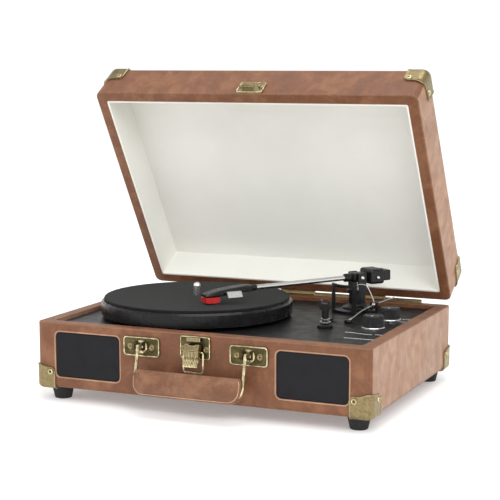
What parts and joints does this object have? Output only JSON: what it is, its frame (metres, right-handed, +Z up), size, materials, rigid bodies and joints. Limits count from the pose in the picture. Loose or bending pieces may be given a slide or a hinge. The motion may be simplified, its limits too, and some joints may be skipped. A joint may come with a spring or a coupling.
{
  "type": "suitcase record player",
  "caption": "Portable record player in a leatherette suitcase with a tilting open lid, belt-driven platter, straight tonearm, front speakers, carry handle and draw latch.",
  "frame": {"origin": "on the floor under the middle of the whole player's outline with the lid open and the handle hanging", "axes": "+Z up, -Y towards the front with the speakers and the handle, +X towards the tonearm and knobs"},
  "size_m": [0.3556, 0.3275, 0.3254],
  "materials": {
    "leatherette": "satin",
    "grip_leather": "satin",
    "lining": "matt",
    "antique_brass": "aged",
    "steel": "bright",
    "aluminium": "satin",
    "deck_black": "satin",
    "black_plastic": "satin",
    "grille_mesh": "matt",
    "rubber": "matt",
    "felt": "matt",
    "red_plastic": "gloss",
    "board": "satin"
  },
  "bodies": {
    "case": {"base_shell": "leatherette", "deck_plate": "deck_black", "speaker_grille_left": "grille_mesh", "speaker_grille_right": "grille_mesh", "speaker_driver_left": "black_plastic", "speaker_driver_right": "black_plastic", "rubber_foot_front_left": "rubber", "rubber_foot_front_right": "rubber", "rubber_foot_rear_left": "rubber", "rubber_foot_rear_right": "rubber", "base_corner_front_left": "antique_brass", "base_corner_front_right": "antique_brass", "base_corner_rear_left": "antique_brass", "base_corner_rear_right": "antique_brass", "handle_plate_left": "antique_brass", "handle_plate_right": "antique_brass", "latch_plate": "antique_brass", "hinge_leaf_lower": "antique_brass", "hinge_pin": "steel", "drive_motor": "steel", "drive_belt": "rubber", "circuit_board": "board", "platter_bearing": "steel", "rear_jack_panel": "black_plastic", "signal_socket_left": "steel", "signal_socket_right": "steel", "power_inlet": "black_plastic", "tonearm_base": "black_plastic", "cue_bracket": "black_plastic", "arm_rest": "black_plastic"},
    "lid": {"lid_shell": "leatherette", "lid_lining": "lining", "lid_corner_front_left": "antique_brass", "lid_corner_front_right": "antique_brass", "lid_corner_rear_left": "antique_brass", "lid_corner_rear_right": "antique_brass", "latch_keeper": "antique_brass", "hinge_leaf_upper": "antique_brass"},
    "platter": {"platter": "aluminium", "platter_mat": "felt", "spindle": "steel"},
    "pulley": {"motor_pulley": "black_plastic"},
    "arm_yoke": {"arm_gimbal": "black_plastic"},
    "tonearm": {"arm_tube": "aluminium", "headshell": "black_plastic", "cartridge": "red_plastic", "stylus": "black_plastic", "finger_lift": "steel", "counterweight": "black_plastic"},
    "handle": {"handle_frame": "antique_brass", "handle_grip": "grip_leather"},
    "lever": {"latch_lever": "antique_brass"},
    "bail": {"latch_bail": "antique_brass"},
    "volume": {"volume_knob": "black_plastic", "volume_knob_skirt": "steel"},
    "mode": {"mode_knob": "black_plastic", "mode_knob_skirt": "steel"},
    "speed": {"speed_switch": "black_plastic"},
    "auto_stop": {"auto_stop_switch": "black_plastic"},
    "cue": {"cue_lever": "steel"}
  },
  "joints": [
    {"name": "arm_swing", "type": "hinge", "parent": "case", "child": "arm_yoke", "pos_m": [0.088, 0.0723, 0.1109], "axis": [0, 0, 1], "range_deg": [-6, 39.8]},
    {"name": "arm_lift", "type": "hinge", "parent": "arm_yoke", "child": "tonearm", "pos_m": [0.088, 0.0723, 0.1109], "axis": [-0.7923, 0.6101, 0], "range_deg": [0, 10]},
    {"name": "cue_lift", "type": "hinge", "parent": "case", "child": "cue", "pos_m": [0.112, 0.0573, 0.0853], "axis": [-1, 0, 0], "range_deg": [0, 16]},
    {"name": "handle_swing", "type": "hinge", "parent": "case", "child": "handle", "pos_m": [0, -0.1422, 0.0643], "axis": [-1, 0, 0], "range_deg": [0, 100]},
    {"name": "lid_hinge", "type": "hinge", "parent": "case", "child": "lid", "pos_m": [0, 0.1268, 0.0796], "axis": [-1, 0, 0], "range_deg": [-58.14, 35]},
    {"name": "latch_lever_turn", "type": "hinge", "parent": "case", "child": "lever", "pos_m": [0, -0.1397, 0.0673], "axis": [1, 0, 0], "range_deg": [-85, 0]},
    {"name": "latch_bail_swing", "type": "hinge", "parent": "lever", "child": "bail", "pos_m": [0, -0.1397, 0.0631], "axis": [-1, 0, 0], "range_deg": [0, 178]},
    {"name": "mode_turn", "type": "hinge", "parent": "case", "child": "mode", "pos_m": [0.1385, 0.0283, 0.0753], "axis": [0, 0, 1], "range_deg": [-60, 60]},
    {"name": "platter_spin", "type": "hinge", "parent": "case", "child": "platter", "pos_m": [-0.0535, -0.0197, 0.0793], "axis": [0, 0, 1], "continuous": true},
    {"name": "pulley_spin", "type": "hinge", "parent": "case", "child": "pulley", "pos_m": [-0.10653, 0.03333, 0.0813], "axis": [0, 0, 1], "continuous": true},
    {"name": "speed_slide", "type": "slide", "parent": "case", "child": "speed", "axis": [1, 0, 0], "range_m": [0, 0.006]},
    {"name": "auto_stop_slide", "type": "slide", "parent": "case", "child": "auto_stop", "axis": [1, 0, 0], "range_m": [0, 0.006]},
    {"name": "volume_turn", "type": "hinge", "parent": "case", "child": "volume", "pos_m": [0.1375, -0.0207, 0.0753], "axis": [0, 0, 1], "range_deg": [-140, 140]}
  ],
  "couplings": [
    {"joint": "pulley_spin", "follows": "platter_spin", "ratio": 11.6}
  ]
}
